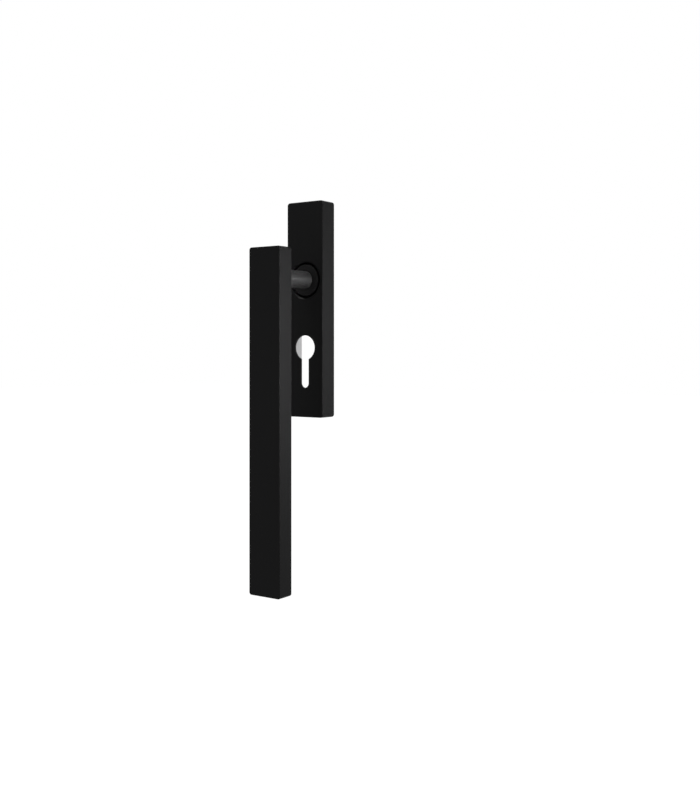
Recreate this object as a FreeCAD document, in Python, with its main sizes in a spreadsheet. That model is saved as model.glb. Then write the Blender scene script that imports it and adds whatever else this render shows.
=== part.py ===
import FreeCAD, Part
import math
import os

import Sketcher

# Inside handle of a lift-and-slide patio door: a long bar lever on a deep rectangular plate.
# Millimetres. The origin is on the spindle axis, in the plane of the door's face. The handle
# stands in front of the door towards -Y, +Z is up and the lever hangs down at rest.

SIZES = {
    # Plate and cover
    "plate_height": 220.0,
    "plate_width": 45.0,
    "plate_depth": 20.0,
    "spindle_below_top": 80.0,
    "cover_front_wall": 2.0,
    "cover_side_wall": 1.8,
    "cover_end_wall": 3.5,
    "plate_corner_radius": 3.0,
    "plate_edge_radius": 0.8,
    "cover_inner_radius": 1.5,
    "neck_hole_diameter": 36.0,
    "neck_hole_chamfer": 1.6,
    # Keyhole and the room for the lock cylinder
    "cylinder_distance": 69.0,
    "keyhole_head_diameter": 25.2,
    "keyhole_slot_width": 10.0,
    "keyhole_slot_share": 0.507,
    "window_clearance": 4.4,
    # Base plate
    "cover_gap": 0.15,
    "tray_rim": 1.5,
    "tray_depth": 12.0,
    "tray_floor": 4.0,
    "fixing_spacing": 80.0,
    "fixing_hole_diameter": 6.5,
    "fixing_boss_diameter": 14.0,
    "fixing_boss_height": 10.0,
    "hub_opening_diameter": 28.0,
    # Bearing housing and bushes
    "housing_side_gap": 1.0,
    "housing_flange_height": 50.0,
    "housing_flange_thickness": 3.5,
    "housing_flange_radius": 3.0,
    "housing_diameter": 30.0,
    "housing_bore": 22.0,
    "housing_counterbore": 27.0,
    "housing_screw_edge": 5.5,
    "bush_recess": 0.5,
    "front_bush_diameter": 32.0,
    "front_bush_flange": 3.0,
    "front_bush_sleeve": 5.0,
    "front_bush_edge_radius": 0.8,
    "rear_bush_diameter": 26.0,
    "rear_bush_flange": 1.2,
    "rear_bush_sleeve": 4.0,
    # Neck
    "neck_diameter": 18.0,
    "journal_diameter": 17.0,
    "neck_back": 0.8,
    "neck_end_chamfer": 0.5,
    "socket_width": 10.1,
    "socket_end": 36.0,
    "spigot_diameter": 14.0,
    "spigot_into_insert": 3.2,
    # Stack behind the rear bush
    "ring_land": 1.2,
    "ring_groove_depth": 0.4,
    "ring_thickness": 1.0,
    "ring_width": 2.4,
    "ring_offset": 0.5,
    "ring_mouth": 2.4,
    "ring_lug_diameter": 4.4,
    "ring_lug_hole": 1.7,
    "wave_height": 0.8,
    "wave_thickness": 0.3,
    "washer_thickness": 1.0,
    "washer_diameter": 26.0,
    # Grip
    "grip_gap": 46.0,
    "grip_width": 38.3,
    "grip_thickness": 18.8,
    "grip_length": 340.0,
    "grip_above": 29.0,
    "grip_wall": 2.8,
    "grip_corner_radius": 2.6,
    "grip_edge_radius": 0.8,
    "insert_below": 30.0,
    "insert_gap": 0.1,
    "insert_cap_gap": 0.5,
    "insert_screw_offset": 14.5,
    "cap_thickness": 3.0,
    "cap_depth": 8.0,
    "cap_wall": 1.5,
    "cap_edge": 0.25,
    # Screws, pins and washers
    "neck_screw_diameter": 6.0,
    "neck_screw_length": 35.0,
    "neck_screw_head_diameter": 9.9,
    "neck_screw_head_height": 6.0,
    "neck_screw_hex": 5.0,
    "neck_screw_free_room": 0.4,
    "lock_washer_diameter": 9.8,
    "lock_washer_thickness": 1.6,
    "lock_washer_slit": 0.8,
    "dowel_diameter": 3.0,
    "dowel_length": 9.0,
    "dowel_offset": 5.1,
    "countersunk_diameter": 4.0,
    "countersunk_length": 7.0,
    "countersunk_head_diameter": 7.6,
    "countersunk_sink": 0.25,
    "countersunk_hex": 2.5,
    "spindle_grub_diameter": 5.0,
    "spindle_grub_length": 4.0,
    "spindle_grub_forward": 30.0,
    "spindle_grub_hex": 2.5,
    "cover_grub_diameter": 4.0,
    "cover_grub_forward": 6.0,
    "cover_grub_hex": 2.0,
    "grub_recess": 0.2,
    # Clearances
    "running_gap": 0.05,
    "seat_gap": 0.02,
    "thread_gap": 0.05,
    "screw_gap": 0.15,
}

TINY = 1e-6
WAVES = 3
WAVE_POINTS_PER_TURN = 48

document = FreeCAD.newDocument("lift_slide_handle")


def fill_sheet():
    """Put the driving sizes into the sheet, one row each, and name their cells."""
    sheet = document.addObject("Spreadsheet::Sheet", "Sizes")
    for row, (name, number) in enumerate(SIZES.items(), start=1):
        sheet.set(f"A{row}", name)
        sheet.set(f"B{row}", str(number))
        sheet.setAlias(f"B{row}", name)
    document.recompute()
    return sheet


class Size:
    """A length: its present value and the expression on the sheet's cells that drives it."""

    def __init__(self, value, text):
        self.value = value
        self.text = text

    def __add__(self, other):
        other = as_size(other)
        return Size(self.value + other.value, f"({self.text} + {other.text})")

    def __sub__(self, other):
        other = as_size(other)
        return Size(self.value - other.value, f"({self.text} - {other.text})")

    def __neg__(self):
        return Size(-self.value, f"(0 - {self.text})")

    def __mul__(self, other):
        other = as_size(other)
        return Size(self.value * other.value, f"({self.text} * {other.text})")

    def __truediv__(self, divisor):
        return Size(self.value / divisor, f"({self.text} / {divisor})")


def as_size(number):
    """A plain number as a Size."""
    return number if isinstance(number, Size) else Size(float(number), str(number))


class Sheet:
    """Reads a named cell as a Size: sizes.plate_width."""

    def __init__(self, sheet):
        self.sheet = sheet

    def __getattr__(self, name):
        return Size(float(self.sheet.get(name)), f"Sizes.{name}")


sizes = Sheet(fill_sheet())

# Places that several pieces share. "Forward" is the distance in front of the door's face.
HALF_WIDTH = sizes.plate_width / 2
PLATE_TOP = sizes.spindle_below_top
PLATE_BOTTOM = sizes.spindle_below_top - sizes.plate_height
HOLLOW_HALF = HALF_WIDTH - sizes.cover_side_wall
HOLLOW_TOP = PLATE_TOP - sizes.cover_end_wall
HOLLOW_BOTTOM = PLATE_BOTTOM + sizes.cover_end_wall
TRAY_HALF = HOLLOW_HALF - sizes.cover_gap
TRAY_TOP = HOLLOW_TOP - sizes.cover_gap
TRAY_BOTTOM = HOLLOW_BOTTOM + sizes.cover_gap
TRAY_INNER_HALF = TRAY_HALF - sizes.tray_rim
FIXING_REACH = sizes.fixing_spacing / 2
HOUSING_HALF = TRAY_INNER_HALF - sizes.housing_side_gap
HOUSING_REACH = sizes.housing_flange_height / 2
# The keyhole's slot ends part of the way from the middle of the head to the plate's lower end
KEYHOLE_HEAD_UP = -sizes.cylinder_distance
KEYHOLE_FOOT_UP = KEYHOLE_HEAD_UP + (PLATE_BOTTOM + sizes.cylinder_distance) * sizes.keyhole_slot_share
SCREW_ACROSS = HOUSING_HALF - sizes.housing_screw_edge
SCREW_UP = HOUSING_REACH - sizes.housing_screw_edge

RING_GROOVE_RADIUS = sizes.journal_diameter / 2 - sizes.ring_groove_depth
RING_RADIUS = RING_GROOVE_RADIUS + sizes.ring_width
RING_BACK = sizes.neck_back + sizes.ring_land
RING_FRONT = RING_BACK + sizes.ring_thickness
WAVE_FRONT = RING_FRONT + sizes.wave_height
WASHER_FRONT = WAVE_FRONT + sizes.washer_thickness
REAR_BUSH_BACK = WASHER_FRONT + sizes.running_gap
REAR_BUSH_SEAT = REAR_BUSH_BACK + sizes.rear_bush_flange
FRONT_BUSH_FRONT = sizes.plate_depth - sizes.bush_recess
HOUSING_FRONT = FRONT_BUSH_FRONT - sizes.front_bush_flange
SHOULDER = FRONT_BUSH_FRONT + sizes.running_gap
BUSH_BORE_RADIUS = sizes.journal_diameter / 2 + sizes.running_gap
BUSH_SLEEVE_RADIUS = sizes.housing_bore / 2 - sizes.seat_gap

GRIP_BACK = sizes.plate_depth + sizes.grip_gap
GRIP_MIDDLE = GRIP_BACK + sizes.grip_thickness / 2
GRIP_HALF = sizes.grip_width / 2
GRIP_BOTTOM = sizes.grip_above - sizes.grip_length
TUBE_HALF = GRIP_HALF - sizes.grip_wall
TUBE_HALF_DEPTH = sizes.grip_thickness / 2 - sizes.grip_wall
INSERT_BACK = GRIP_BACK + sizes.grip_wall + sizes.insert_gap
INSERT_HALF = TUBE_HALF - sizes.insert_gap
INSERT_HALF_DEPTH = TUBE_HALF_DEPTH - sizes.insert_gap
SPIGOT_END = GRIP_BACK + sizes.grip_wall + sizes.spigot_into_insert
SCREW_SEAT = (
    sizes.socket_end + sizes.neck_screw_free_room + sizes.neck_screw_head_height
    + sizes.lock_washer_thickness
)
SCREW_HEAD_FRONT = SCREW_SEAT - sizes.lock_washer_thickness

# Turns a piece built along +Z so that it points forward, away from the door
FORWARD = FreeCAD.Rotation(FreeCAD.Vector(1, 0, 0), 90)
DOWN = FreeCAD.Rotation(FreeCAD.Vector(1, 0, 0), 180)
UPRIGHT = FreeCAD.Rotation()
HALF_TURN = FreeCAD.Rotation(FreeCAD.Vector(0, 1, 0), 180)


def new_body(name):
    """An empty body whose label names the piece."""
    body = document.addObject("PartDesign::Body", name)
    body.Label = name
    return body


def sketch_on(body, role, name, moved=None):
    """An empty sketch on one of the body's origin planes, moved along the plane's normal."""
    sketch = body.newObject("Sketcher::SketchObject", name)
    support = next(f for f in body.Origin.OriginFeatures if f.Role == role)
    sketch.AttachmentSupport = [(support, "")]
    sketch.MapMode = "FlatFace"
    if moved is not None:
        sketch.setExpression(".AttachmentOffset.Base.z", moved.text)
    return sketch


def drive(sketch, constraint, size):
    """Add a dimension to the sketch and let the sheet drive it."""
    number = sketch.addConstraint(constraint)
    sketch.setExpression(f"Constraints[{number}]", size.text)


def hold_point(sketch, vertex, across, up):
    """Tie a vertex to the sketch's origin by two lengths."""
    for kind, size, axis in (("DistanceX", across, -2), ("DistanceY", up, -1)):
        if abs(size.value) < TINY:
            sketch.addConstraint(Sketcher.Constraint("PointOnObject", *vertex, axis))
        elif size.value > 0:
            drive(sketch, Sketcher.Constraint(kind, -1, 1, *vertex, size.value), size)
        else:
            drive(sketch, Sketcher.Constraint(kind, *vertex, -1, 1, -size.value), -size)


def polygon(sketch, points):
    """A closed outline of straight lines through points, each given as across and up."""
    points = [(as_size(across), as_size(up)) for across, up in points]
    first = sketch.GeometryCount
    corners = [FreeCAD.Vector(across.value, up.value, 0) for across, up in points]
    for start, end in zip(corners, corners[1:] + corners[:1]):
        sketch.addGeometry(Part.LineSegment(start, end))
    for place, (across, up) in enumerate(points):
        following = first + (place + 1) % len(points)
        sketch.addConstraint(Sketcher.Constraint("Coincident", first + place, 2, following, 1))
        hold_point(sketch, (first + place, 1), across, up)


def rectangle(sketch, half_width, bottom, top):
    """A rectangle that is centred across the sketch's vertical axis."""
    polygon(sketch, [(-half_width, bottom), (half_width, bottom), (half_width, top), (-half_width, top)])


def circle(sketch, radius, across=0, up=0):
    """A circle round a point that is held from the sketch's origin."""
    across = as_size(across)
    up = as_size(up)
    centre = FreeCAD.Vector(across.value, up.value, 0)
    number = sketch.addGeometry(Part.Circle(centre, FreeCAD.Vector(0, 0, 1), radius.value))
    hold_point(sketch, (number, 3), across, up)
    drive(sketch, Sketcher.Constraint("Radius", number, radius.value), radius)


def pad(body, sketch, length, reversed_way=False):
    """Add material in front of a sketch. On the XZ plane that is away from the door."""
    feature = body.newObject("PartDesign::Pad", sketch.Name + "_pad")
    feature.Profile = sketch
    feature.setExpression("Length", length.text)
    feature.Reversed = reversed_way
    return feature


def pocket(body, sketch, length=None, forward=True, both_ways=False):
    """Cut the sketch's outline out of the body, to a length or right through."""
    feature = body.newObject("PartDesign::Pocket", sketch.Name + "_pocket")
    feature.Profile = sketch
    feature.Reversed = forward
    if length is None:
        feature.Type = "ThroughAll"
    else:
        feature.setExpression("Length", length.text)
    feature.Midplane = both_ways
    return feature


def turn(body, sketch):
    """Revolve a half section on the XY plane about the spindle axis."""
    feature = body.newObject("PartDesign::Revolution", sketch.Name + "_turned")
    feature.Profile = sketch
    feature.ReferenceAxis = (sketch, ["V_Axis"])
    feature.Angle = 360
    return feature


def dress_edges(body, kind, name, size, wanted):
    """Fillet or chamfer the edges of the body's last feature that a test picks."""
    document.recompute()
    last = body.Tip
    edges = [f"Edge{n}" for n, edge in enumerate(last.Shape.Edges, start=1) if wanted(edge)]
    feature = body.newObject(f"PartDesign::{kind}", name)
    feature.Base = (last, edges)
    feature.setExpression("Radius" if kind == "Fillet" else "Size", size.text)
    return feature


def runs_along(axis):
    """A test for straight edges parallel to an axis."""
    def test(edge):
        direction = edge.Vertexes[-1].Point - edge.Vertexes[0].Point
        straight = edge.Curve.TypeId == "Part::GeomLine"
        return straight and abs(direction.dot(axis)) > direction.Length - TINY > 0
    return test


def lies_forward(forward):
    """A test for edges in the plane at a distance in front of the door's face."""
    def test(edge):
        box = edge.BoundBox
        return abs(box.YMin + forward.value) < 1e-4 and abs(box.YMax + forward.value) < 1e-4
    return test


def is_circle(radius, forward):
    """A test for a round edge of one radius at a distance in front of the door's face."""
    def test(edge):
        round_edge = edge.Curve.TypeId == "Part::GeomCircle"
        return round_edge and abs(edge.Curve.Radius - radius.value) < TINY and lies_forward(forward)(edge)
    return test


ALONG_DEPTH = runs_along(FreeCAD.Vector(0, 1, 0))


def keyhole_outline(sketch):
    """A round head with a slot below it, which ends in a half circle."""
    head = sizes.keyhole_head_diameter / 2
    slot = sizes.keyhole_slot_width / 2
    head_up = KEYHOLE_HEAD_UP
    slot_up = KEYHOLE_FOOT_UP
    junction = math.acos(slot.value / head.value)
    junction_up = head_up.value - head.value * math.sin(junction)
    normal = FreeCAD.Vector(0, 0, 1)
    head_circle = Part.Circle(FreeCAD.Vector(0, head_up.value, 0), normal, head.value)
    slot_circle = Part.Circle(FreeCAD.Vector(0, slot_up.value, 0), normal, slot.value)
    left_top = FreeCAD.Vector(-slot.value, junction_up, 0)
    left_bottom = FreeCAD.Vector(-slot.value, slot_up.value, 0)
    right_bottom = FreeCAD.Vector(slot.value, slot_up.value, 0)
    right_top = FreeCAD.Vector(slot.value, junction_up, 0)
    round_head = sketch.addGeometry(Part.ArcOfCircle(head_circle, -junction, math.pi + junction))
    left = sketch.addGeometry(Part.LineSegment(left_top, left_bottom))
    foot = sketch.addGeometry(Part.ArcOfCircle(slot_circle, math.pi, 2 * math.pi))
    right = sketch.addGeometry(Part.LineSegment(right_bottom, right_top))
    sketch.addConstraint(Sketcher.Constraint("Coincident", round_head, 2, left, 1))
    sketch.addConstraint(Sketcher.Constraint("Tangent", left, 2, foot, 1))
    sketch.addConstraint(Sketcher.Constraint("Tangent", foot, 2, right, 1))
    sketch.addConstraint(Sketcher.Constraint("Coincident", right, 2, round_head, 1))
    sketch.addConstraint(Sketcher.Constraint("Vertical", left))
    sketch.addConstraint(Sketcher.Constraint("Vertical", right))
    hold_point(sketch, (round_head, 3), as_size(0), head_up)
    hold_point(sketch, (foot, 3), as_size(0), slot_up)
    drive(sketch, Sketcher.Constraint("Radius", round_head, head.value), head)
    drive(sketch, Sketcher.Constraint("Radius", foot, slot.value), slot)


def make_cover_plate():
    """The deep cover: a shell open to the door, with the neck's hole and the keyhole."""
    body = new_body("cover_plate")
    outline = sketch_on(body, "XZ_Plane", "cover_outline")
    rectangle(outline, HALF_WIDTH, PLATE_BOTTOM, PLATE_TOP)
    pad(body, outline, sizes.plate_depth)
    dress_edges(body, "Fillet", "cover_corners", sizes.plate_corner_radius, ALONG_DEPTH)
    dress_edges(body, "Fillet", "cover_front_edge", sizes.plate_edge_radius, lies_forward(sizes.plate_depth))
    hollow = sketch_on(body, "XZ_Plane", "cover_hollow")
    rectangle(hollow, HOLLOW_HALF, HOLLOW_BOTTOM, HOLLOW_TOP)
    pocket(body, hollow, sizes.plate_depth - sizes.cover_front_wall)

    def inner_corner(edge):
        place = edge.BoundBox
        across = abs(place.XMin) < HOLLOW_HALF.value + TINY
        upright = HOLLOW_BOTTOM.value - TINY < place.ZMin < HOLLOW_TOP.value + TINY
        return ALONG_DEPTH(edge) and across and upright

    dress_edges(body, "Fillet", "cover_inner_corners", sizes.cover_inner_radius, inner_corner)
    neck_hole = sketch_on(body, "XZ_Plane", "neck_hole")
    circle(neck_hole, sizes.neck_hole_diameter / 2)
    pocket(body, neck_hole)

    rim = is_circle(sizes.neck_hole_diameter / 2, sizes.plate_depth)
    dress_edges(body, "Chamfer", "neck_hole_edge", sizes.neck_hole_chamfer, rim)
    keyhole = sketch_on(body, "XZ_Plane", "keyhole")
    keyhole_outline(keyhole)
    pocket(body, keyhole)
    grub_holes = sketch_on(body, "XY_Plane", "cover_grub_holes")
    circle(grub_holes, sizes.cover_grub_diameter / 2 + sizes.thread_gap, up=-sizes.cover_grub_forward)
    pocket(body, grub_holes, both_ways=True)
    return body


def make_base_plate():
    """The cast tray that is screwed to the door and carries the housing and the cover."""
    body = new_body("base_plate")
    floor = sketch_on(body, "XZ_Plane", "tray_floor_outline")
    rectangle(floor, TRAY_HALF, TRAY_BOTTOM, TRAY_TOP)
    pad(body, floor, sizes.tray_depth)
    dress_edges(body, "Fillet", "tray_corners", sizes.cover_inner_radius, ALONG_DEPTH)
    inside = sketch_on(body, "XZ_Plane", "tray_inside", moved=sizes.tray_floor)
    rectangle(inside, TRAY_INNER_HALF, TRAY_BOTTOM + sizes.tray_rim, TRAY_TOP - sizes.tray_rim)
    pocket(body, inside)
    bosses = sketch_on(body, "XZ_Plane", "fixing_bosses")
    for up in (FIXING_REACH, -FIXING_REACH):
        circle(bosses, sizes.fixing_boss_diameter / 2, up=up)
    pad(body, bosses, sizes.fixing_boss_height)
    fixings = sketch_on(body, "XZ_Plane", "fixing_holes")
    for up in (FIXING_REACH, -FIXING_REACH):
        circle(fixings, sizes.fixing_hole_diameter / 2, up=up)
    pocket(body, fixings)
    opening = sketch_on(body, "XZ_Plane", "hub_opening")
    circle(opening, sizes.hub_opening_diameter / 2)
    pocket(body, opening)
    window = sketch_on(body, "XZ_Plane", "cylinder_window")
    window_top = KEYHOLE_HEAD_UP + sizes.keyhole_head_diameter / 2 + sizes.window_clearance
    window_bottom = KEYHOLE_FOOT_UP - sizes.keyhole_slot_width / 2 - sizes.window_clearance
    rectangle(window, TRAY_INNER_HALF, window_bottom, window_top)
    pocket(body, window)
    countersink(body, "housing_screw_holes", None, [
        (across, up) for across in (-SCREW_ACROSS, SCREW_ACROSS) for up in (-SCREW_UP, SCREW_UP)
    ])
    return body


def countersink(body, name, forward, places):
    """Clearance holes for countersunk screws, sunk from the side that faces the door."""
    holes = sketch_on(body, "XZ_Plane", name, moved=forward)
    for across, up in places:
        circle(holes, sizes.countersunk_diameter / 2, across, up)
    feature = body.newObject("PartDesign::Hole", name + "_sunk")
    feature.Profile = holes
    document.recompute()
    feature.Reversed = True
    feature.setExpression("Diameter", (sizes.countersunk_diameter + sizes.screw_gap * 2).text)
    feature.HoleCutType = "Countersink"
    feature.HoleCutCustomValues = True
    mouth = sizes.countersunk_head_diameter + (sizes.countersunk_sink + sizes.thread_gap) * 2
    feature.setExpression("HoleCutDiameter", mouth.text)
    feature.HoleCutCountersinkAngle = 90
    if forward is None:
        feature.DepthType = "ThroughAll"
    else:
        feature.DepthType = "Dimension"
        feature.DrillPoint = "Flat"
        feature.setExpression("Depth", (sizes.grip_wall + sizes.insert_gap).text)
    return feature


def make_bearing_housing():
    """A turned barrel on a flange, which holds both bushes and stands on the tray's floor."""
    body = new_body("bearing_housing")
    flange = sketch_on(body, "XZ_Plane", "housing_flange", moved=sizes.tray_floor)
    rectangle(flange, HOUSING_HALF, -HOUSING_REACH, HOUSING_REACH)
    pad(body, flange, sizes.housing_flange_thickness)
    dress_edges(body, "Fillet", "housing_flange_corners", sizes.housing_flange_radius, ALONG_DEPTH)
    barrel = sketch_on(body, "XZ_Plane", "housing_barrel", moved=sizes.tray_floor)
    circle(barrel, sizes.housing_diameter / 2)
    pad(body, barrel, HOUSING_FRONT - sizes.tray_floor)
    bore = sketch_on(body, "XZ_Plane", "housing_bore")
    circle(bore, sizes.housing_bore / 2)
    pocket(body, bore)
    counterbore = sketch_on(body, "XZ_Plane", "housing_counterbore")
    circle(counterbore, sizes.housing_counterbore / 2)
    pocket(body, counterbore, REAR_BUSH_SEAT)
    threads = sketch_on(body, "XZ_Plane", "housing_threads")
    for across in (-SCREW_ACROSS, SCREW_ACROSS):
        for up in (-SCREW_UP, SCREW_UP):
            circle(threads, sizes.countersunk_diameter / 2 + sizes.thread_gap, across, up)
    pocket(body, threads)
    return body


def make_bush(name, flange_radius, flange_back, flange_front, sleeve_back, sleeve_front):
    """A bush with a flange, as the half section of a ring round the journal."""
    body = new_body(name)
    section = sketch_on(body, "XY_Plane", name + "_section")
    if sleeve_front.value > flange_front.value:
        outline = [
            (BUSH_BORE_RADIUS, -flange_back), (flange_radius, -flange_back),
            (flange_radius, -flange_front), (BUSH_SLEEVE_RADIUS, -flange_front),
            (BUSH_SLEEVE_RADIUS, -sleeve_front), (BUSH_BORE_RADIUS, -sleeve_front),
        ]
    else:
        outline = [
            (BUSH_BORE_RADIUS, -sleeve_back), (BUSH_SLEEVE_RADIUS, -sleeve_back),
            (BUSH_SLEEVE_RADIUS, -flange_back), (flange_radius, -flange_back),
            (flange_radius, -flange_front), (BUSH_BORE_RADIUS, -flange_front),
        ]
    polygon(section, outline)
    turn(body, section)
    return body


def make_front_bush():
    """The bush whose flange is the disc that shows round the neck in the cover's hole."""
    radius = sizes.front_bush_diameter / 2
    body = make_bush(
        "front_bush", radius, HOUSING_FRONT, FRONT_BUSH_FRONT,
        HOUSING_FRONT - sizes.front_bush_sleeve, HOUSING_FRONT,
    )
    rim = is_circle(radius, FRONT_BUSH_FRONT)
    dress_edges(body, "Fillet", "front_bush_rim", sizes.front_bush_edge_radius, rim)
    return body


def make_rear_bush():
    """The bush at the door side, whose flange takes the pull on the lever."""
    return make_bush(
        "rear_bush", sizes.rear_bush_diameter / 2, REAR_BUSH_BACK, REAR_BUSH_SEAT,
        REAR_BUSH_SEAT, REAR_BUSH_SEAT + sizes.rear_bush_sleeve,
    )


def make_neck():
    """The stem: journal, stem and spigot, turned, with a square socket for the spindle."""
    body = new_body("neck")
    journal = sizes.journal_diameter / 2
    groove = RING_GROOVE_RADIUS
    stem = sizes.neck_diameter / 2
    spigot = sizes.spigot_diameter / 2
    groove_front = RING_FRONT + sizes.running_gap
    section = sketch_on(body, "XY_Plane", "neck_section")
    polygon(section, [
        (0, -sizes.neck_back), (journal - sizes.neck_end_chamfer, -sizes.neck_back),
        (journal, -(sizes.neck_back + sizes.neck_end_chamfer)), (journal, -RING_BACK),
        (groove, -RING_BACK), (groove, -groove_front), (journal, -groove_front),
        (journal, -SHOULDER), (stem, -SHOULDER), (stem, -GRIP_BACK),
        (spigot, -GRIP_BACK), (spigot, -SPIGOT_END), (0, -SPIGOT_END),
    ])
    turn(body, section)
    socket = sketch_on(body, "XZ_Plane", "spindle_socket")
    half = sizes.socket_width / 2
    rectangle(socket, half, -half, half)
    pocket(body, socket, sizes.socket_end)
    head_room = sketch_on(body, "XZ_Plane", "neck_screw_head_room")
    circle(head_room, sizes.neck_screw_head_diameter / 2 + sizes.screw_gap)
    pocket(body, head_room, SCREW_SEAT)
    passage = sketch_on(body, "XZ_Plane", "neck_screw_passage")
    circle(passage, sizes.neck_screw_diameter / 2 + sizes.screw_gap)
    pocket(body, passage)
    dowels = sketch_on(body, "XZ_Plane", "neck_dowel_holes", moved=SPIGOT_END)
    for up in (sizes.dowel_offset, -sizes.dowel_offset):
        circle(dowels, sizes.dowel_diameter / 2 + sizes.seat_gap, up=up)
    pocket(body, dowels, sizes.dowel_length / 2 + sizes.running_gap, forward=False)
    grub = sketch_on(body, "XY_Plane", "spindle_grub_hole")
    circle(grub, sizes.spindle_grub_diameter / 2 + sizes.thread_gap, up=-sizes.spindle_grub_forward)
    pocket(body, grub, forward=False)
    return body


def make_grip():
    """The long rectangular bar: a drawn tube with broken edges."""
    body = new_body("grip")
    outline = sketch_on(body, "XZ_Plane", "grip_outline", moved=GRIP_BACK)
    rectangle(outline, GRIP_HALF, GRIP_BOTTOM, sizes.grip_above)
    pad(body, outline, sizes.grip_thickness)
    dress_edges(body, "Fillet", "grip_corners", sizes.grip_corner_radius, ALONG_DEPTH)
    front = lies_forward(GRIP_BACK + sizes.grip_thickness)
    back = lies_forward(GRIP_BACK)

    def front_or_back(edge):
        return front(edge) or back(edge)

    dress_edges(body, "Fillet", "grip_long_edges", sizes.grip_edge_radius, front_or_back)
    inside = sketch_on(body, "XY_Plane", "grip_inside")
    rectangle(inside, TUBE_HALF, -(GRIP_MIDDLE + TUBE_HALF_DEPTH), TUBE_HALF_DEPTH - GRIP_MIDDLE)
    pocket(body, inside, both_ways=True)
    spigot_hole = sketch_on(body, "XZ_Plane", "grip_spigot_hole")
    circle(spigot_hole, sizes.spigot_diameter / 2 + sizes.running_gap)
    pocket(body, spigot_hole, GRIP_MIDDLE)
    countersink(body, "insert_screw_holes", GRIP_BACK, [
        (as_size(0), sizes.insert_screw_offset), (as_size(0), -sizes.insert_screw_offset)
    ])
    return body


def make_grip_insert():
    """The block inside the bar that takes the neck's spigot, pins and screw."""
    body = new_body("grip_insert")
    outline = sketch_on(body, "XZ_Plane", "insert_outline", moved=INSERT_BACK)
    insert_top = sizes.grip_above - sizes.cap_depth - sizes.insert_cap_gap
    rectangle(outline, INSERT_HALF, -sizes.insert_below, insert_top)
    pad(body, outline, INSERT_HALF_DEPTH * 2)
    seat = sketch_on(body, "XZ_Plane", "insert_spigot_seat")
    circle(seat, sizes.spigot_diameter / 2 + sizes.running_gap)
    pocket(body, seat, SPIGOT_END)
    thread = sketch_on(body, "XZ_Plane", "insert_thread")
    circle(thread, sizes.neck_screw_diameter / 2 + sizes.thread_gap)
    pocket(body, thread)
    dowels = sketch_on(body, "XZ_Plane", "insert_dowel_holes")
    for up in (sizes.dowel_offset, -sizes.dowel_offset):
        circle(dowels, sizes.dowel_diameter / 2 + sizes.seat_gap, up=up)
    pocket(body, dowels, SPIGOT_END + sizes.dowel_length / 2 + sizes.running_gap)
    screws = sketch_on(body, "XZ_Plane", "insert_screw_threads")
    for up in (sizes.insert_screw_offset, -sizes.insert_screw_offset):
        circle(screws, sizes.countersunk_diameter / 2 + sizes.thread_gap, up=up)
    pocket(body, screws)
    return body


def make_grip_cap(name, up, rotation):
    """A plug with a hollow underside that closes one end of the bar flush."""
    body = new_body(name)
    half = TUBE_HALF - sizes.running_gap
    half_depth = TUBE_HALF_DEPTH - sizes.running_gap
    outline = sketch_on(body, "XY_Plane", name + "_outline")
    rectangle(outline, half, -half_depth, half_depth)
    pad(body, outline, sizes.cap_depth, reversed_way=True)

    def outer_edge(edge):
        return abs(edge.BoundBox.ZMin) < TINY and abs(edge.BoundBox.ZMax) < TINY

    dress_edges(body, "Chamfer", name + "_edge", sizes.cap_edge, outer_edge)
    inside = sketch_on(body, "XY_Plane", name + "_inside", moved=-sizes.cap_thickness)
    rectangle(inside, half - sizes.cap_wall, sizes.cap_wall - half_depth, half_depth - sizes.cap_wall)
    pocket(body, inside, forward=False)
    put(body, rotation, forward=GRIP_MIDDLE, up=up)
    return body


def put(piece, rotation, across=0, forward=0, up=0):
    """Turn a piece and let the sheet drive where its own origin lies."""
    piece.Placement = FreeCAD.Placement(FreeCAD.Vector(), rotation)
    for letter, size in (("x", as_size(across)), ("y", -as_size(forward)), ("z", as_size(up))):
        piece.setExpression(f".Placement.Base.{letter}", size.text)
    return piece


def primitive(kind, name, sizes_of, across=0, forward=0, up=0):
    """A Part primitive with its properties driven by the sheet, at a place in its own frame."""
    piece = document.addObject(f"Part::{kind}", name)
    for property_name, size in sizes_of.items():
        piece.setExpression(property_name, as_size(size).text)
    return put(piece, UPRIGHT, across, forward, up)


def cylinder(name, radius, height, across=0, forward=0, up=0):
    """An upright cylinder."""
    return primitive("Cylinder", name, {"Radius": radius, "Height": height}, across, forward, up)


def hexagon(name, across_flats, height, up=0):
    """An upright hexagonal prism, which cuts a socket for a hex key."""
    prism = primitive("Prism", name, {"Circumradius": across_flats / math.sqrt(3), "Height": height}, up=up)
    prism.Polygon = 6
    return prism


def joined(name, pieces):
    """Several solids fused to one."""
    piece = document.addObject("Part::MultiFuse", name)
    piece.Shapes = pieces
    return piece


def cut(name, base, tool):
    """One solid less another."""
    piece = document.addObject("Part::Cut", name)
    piece.Base = base
    piece.Tool = tool
    return piece


def group(name, pieces):
    """Identical pieces that share a node, each still its own solid."""
    piece = document.addObject("Part::Compound", name)
    piece.Links = pieces
    piece.Label = name
    return piece


def ring(name, outer_diameter, inner_radius, thickness):
    """A flat ring."""
    outer = cylinder(name + "_outer", outer_diameter / 2, thickness)
    inner = cylinder(name + "_bore", inner_radius, thickness)
    return cut(name, outer, inner)


def make_thrust_washer():
    """The flat washer between the wave washer and the rear bush."""
    inner = sizes.journal_diameter / 2 + sizes.running_gap
    piece = ring("thrust_washer", sizes.washer_diameter, inner, sizes.washer_thickness)
    return put(piece, FORWARD, forward=WAVE_FRONT)


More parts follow.
